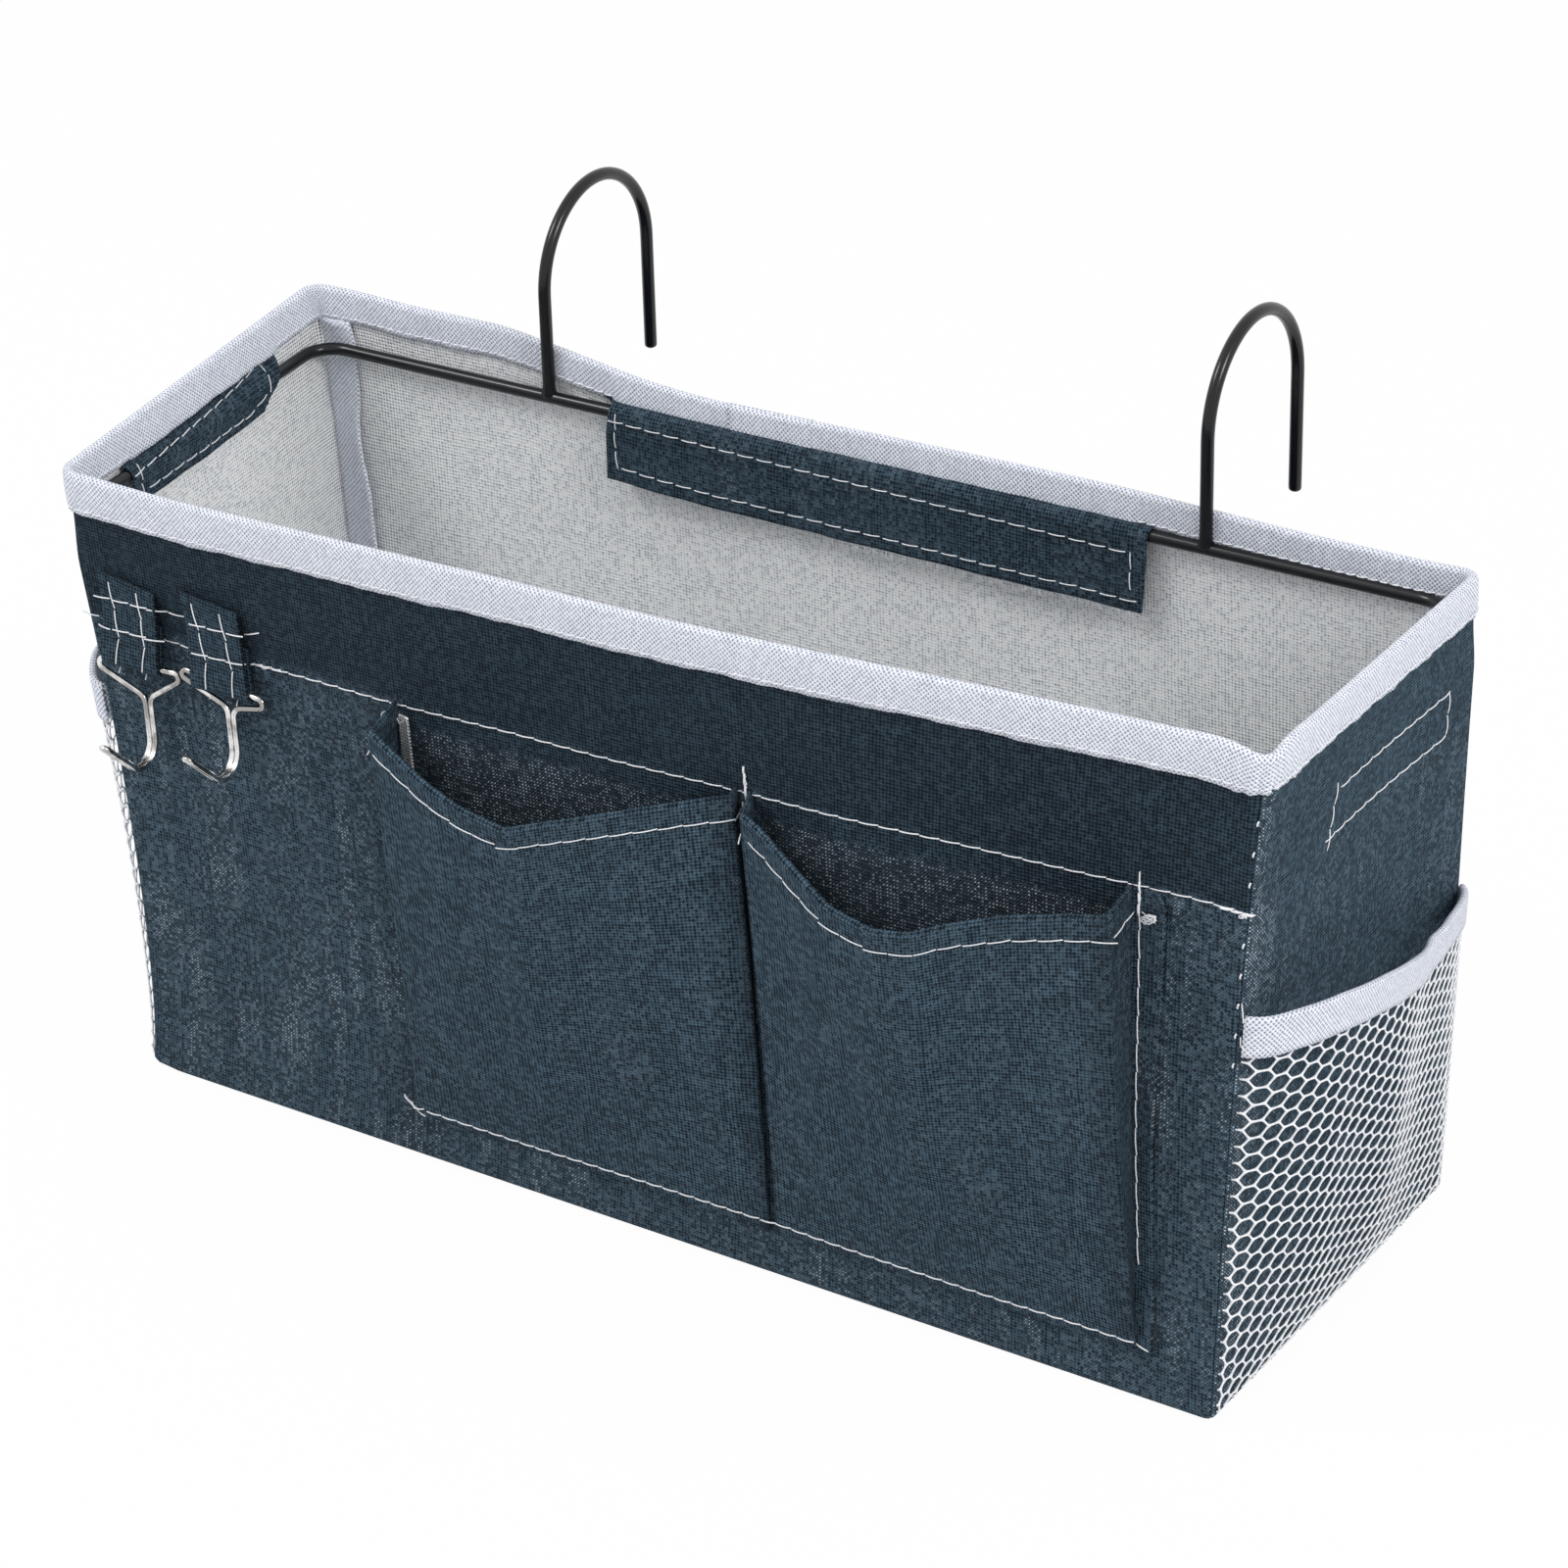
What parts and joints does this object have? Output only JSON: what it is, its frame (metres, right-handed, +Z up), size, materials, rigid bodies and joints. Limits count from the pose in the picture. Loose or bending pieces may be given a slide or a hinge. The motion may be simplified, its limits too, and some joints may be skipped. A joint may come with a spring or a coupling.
{
  "type": "bedside caddy",
  "caption": "Hanging canvas box on a bent wire ring with rail hooks, front wedge pockets, mesh end pockets, white bound edges and swinging wire hooks in strap tabs.",
  "frame": {"origin": "centre of the underside of the base panel", "axes": "+X along the caddy's length towards the right-hand end as seen from the pocket side, +Y towards the rail hooks, +Z up"},
  "size_m": [0.4112, 0.213, 0.2485],
  "materials": {
    "navy_canvas": "matt navy linen-look canvas, pale grey lining inside",
    "pale_lining": "pale grey coated back of the canvas, inside the box",
    "white_tape": "white woven binding tape",
    "white_net": "white knitted net",
    "fastener_tape": "navy hook and loop tape",
    "black_wire": "glossy black coated steel wire",
    "bright_wire": "bright nickel plated wire"
  },
  "bodies": {
    "caddy": {"base_panel": "navy_canvas", "front_panel": "navy_canvas", "back_panel": "navy_canvas", "left_end_panel": "navy_canvas", "right_end_panel": "navy_canvas", "rim_binding": "white_tape", "seam_tape_front_left": "white_tape", "seam_tape_front_right": "white_tape", "seam_tape_back_left": "white_tape", "seam_tape_back_right": "white_tape", "back_wall_loop_tape": "fastener_tape", "left_wall_loop_tape": "fastener_tape", "right_wall_loop_tape": "fastener_tape", "wire_ring": "black_wire", "rail_hook_left": "black_wire", "rail_hook_right": "black_wire", "strap_tab_left": "navy_canvas", "strap_tab_right": "navy_canvas", "pocket_left": "navy_canvas", "pocket_right": "navy_canvas", "mesh_pocket_left": "white_net", "mesh_binding_left": "white_tape", "mesh_pocket_right": "white_net", "mesh_binding_right": "white_tape"},
    "back_flap": {"back_sleeve_flap": "navy_canvas", "back_flap_hook_tape": "fastener_tape"},
    "left_flap": {"left_sleeve_flap": "navy_canvas", "left_flap_hook_tape": "fastener_tape"},
    "right_flap": {"right_sleeve_flap": "navy_canvas", "right_flap_hook_tape": "fastener_tape"},
    "hook_left": {"wire_hook_left": "bright_wire"},
    "hook_right": {"wire_hook_right": "bright_wire"}
  },
  "joints": [
    {"name": "back_flap_open", "type": "hinge", "parent": "caddy", "child": "back_flap", "pos_m": [0, 0.064, 0.19], "axis": [-1, 0, 0], "range_deg": [0, 90]},
    {"name": "left_flap_open", "type": "hinge", "parent": "caddy", "child": "left_flap", "pos_m": [-0.18542, 0, 0.19], "axis": [0, -1, 0], "range_deg": [0, 90]},
    {"name": "right_flap_open", "type": "hinge", "parent": "caddy", "child": "right_flap", "pos_m": [0.18542, 0, 0.19], "axis": [0, 1, 0], "range_deg": [0, 90]},
    {"name": "hook_left_swing", "type": "hinge", "parent": "caddy", "child": "hook_left", "pos_m": [-0.16938, -0.07074, 0.144], "axis": [-1, 0, 0], "range_deg": [0, 110]},
    {"name": "hook_right_swing", "type": "hinge", "parent": "caddy", "child": "hook_right", "pos_m": [-0.13938, -0.07157, 0.144], "axis": [-1, 0, 0], "range_deg": [0, 110]}
  ]
}
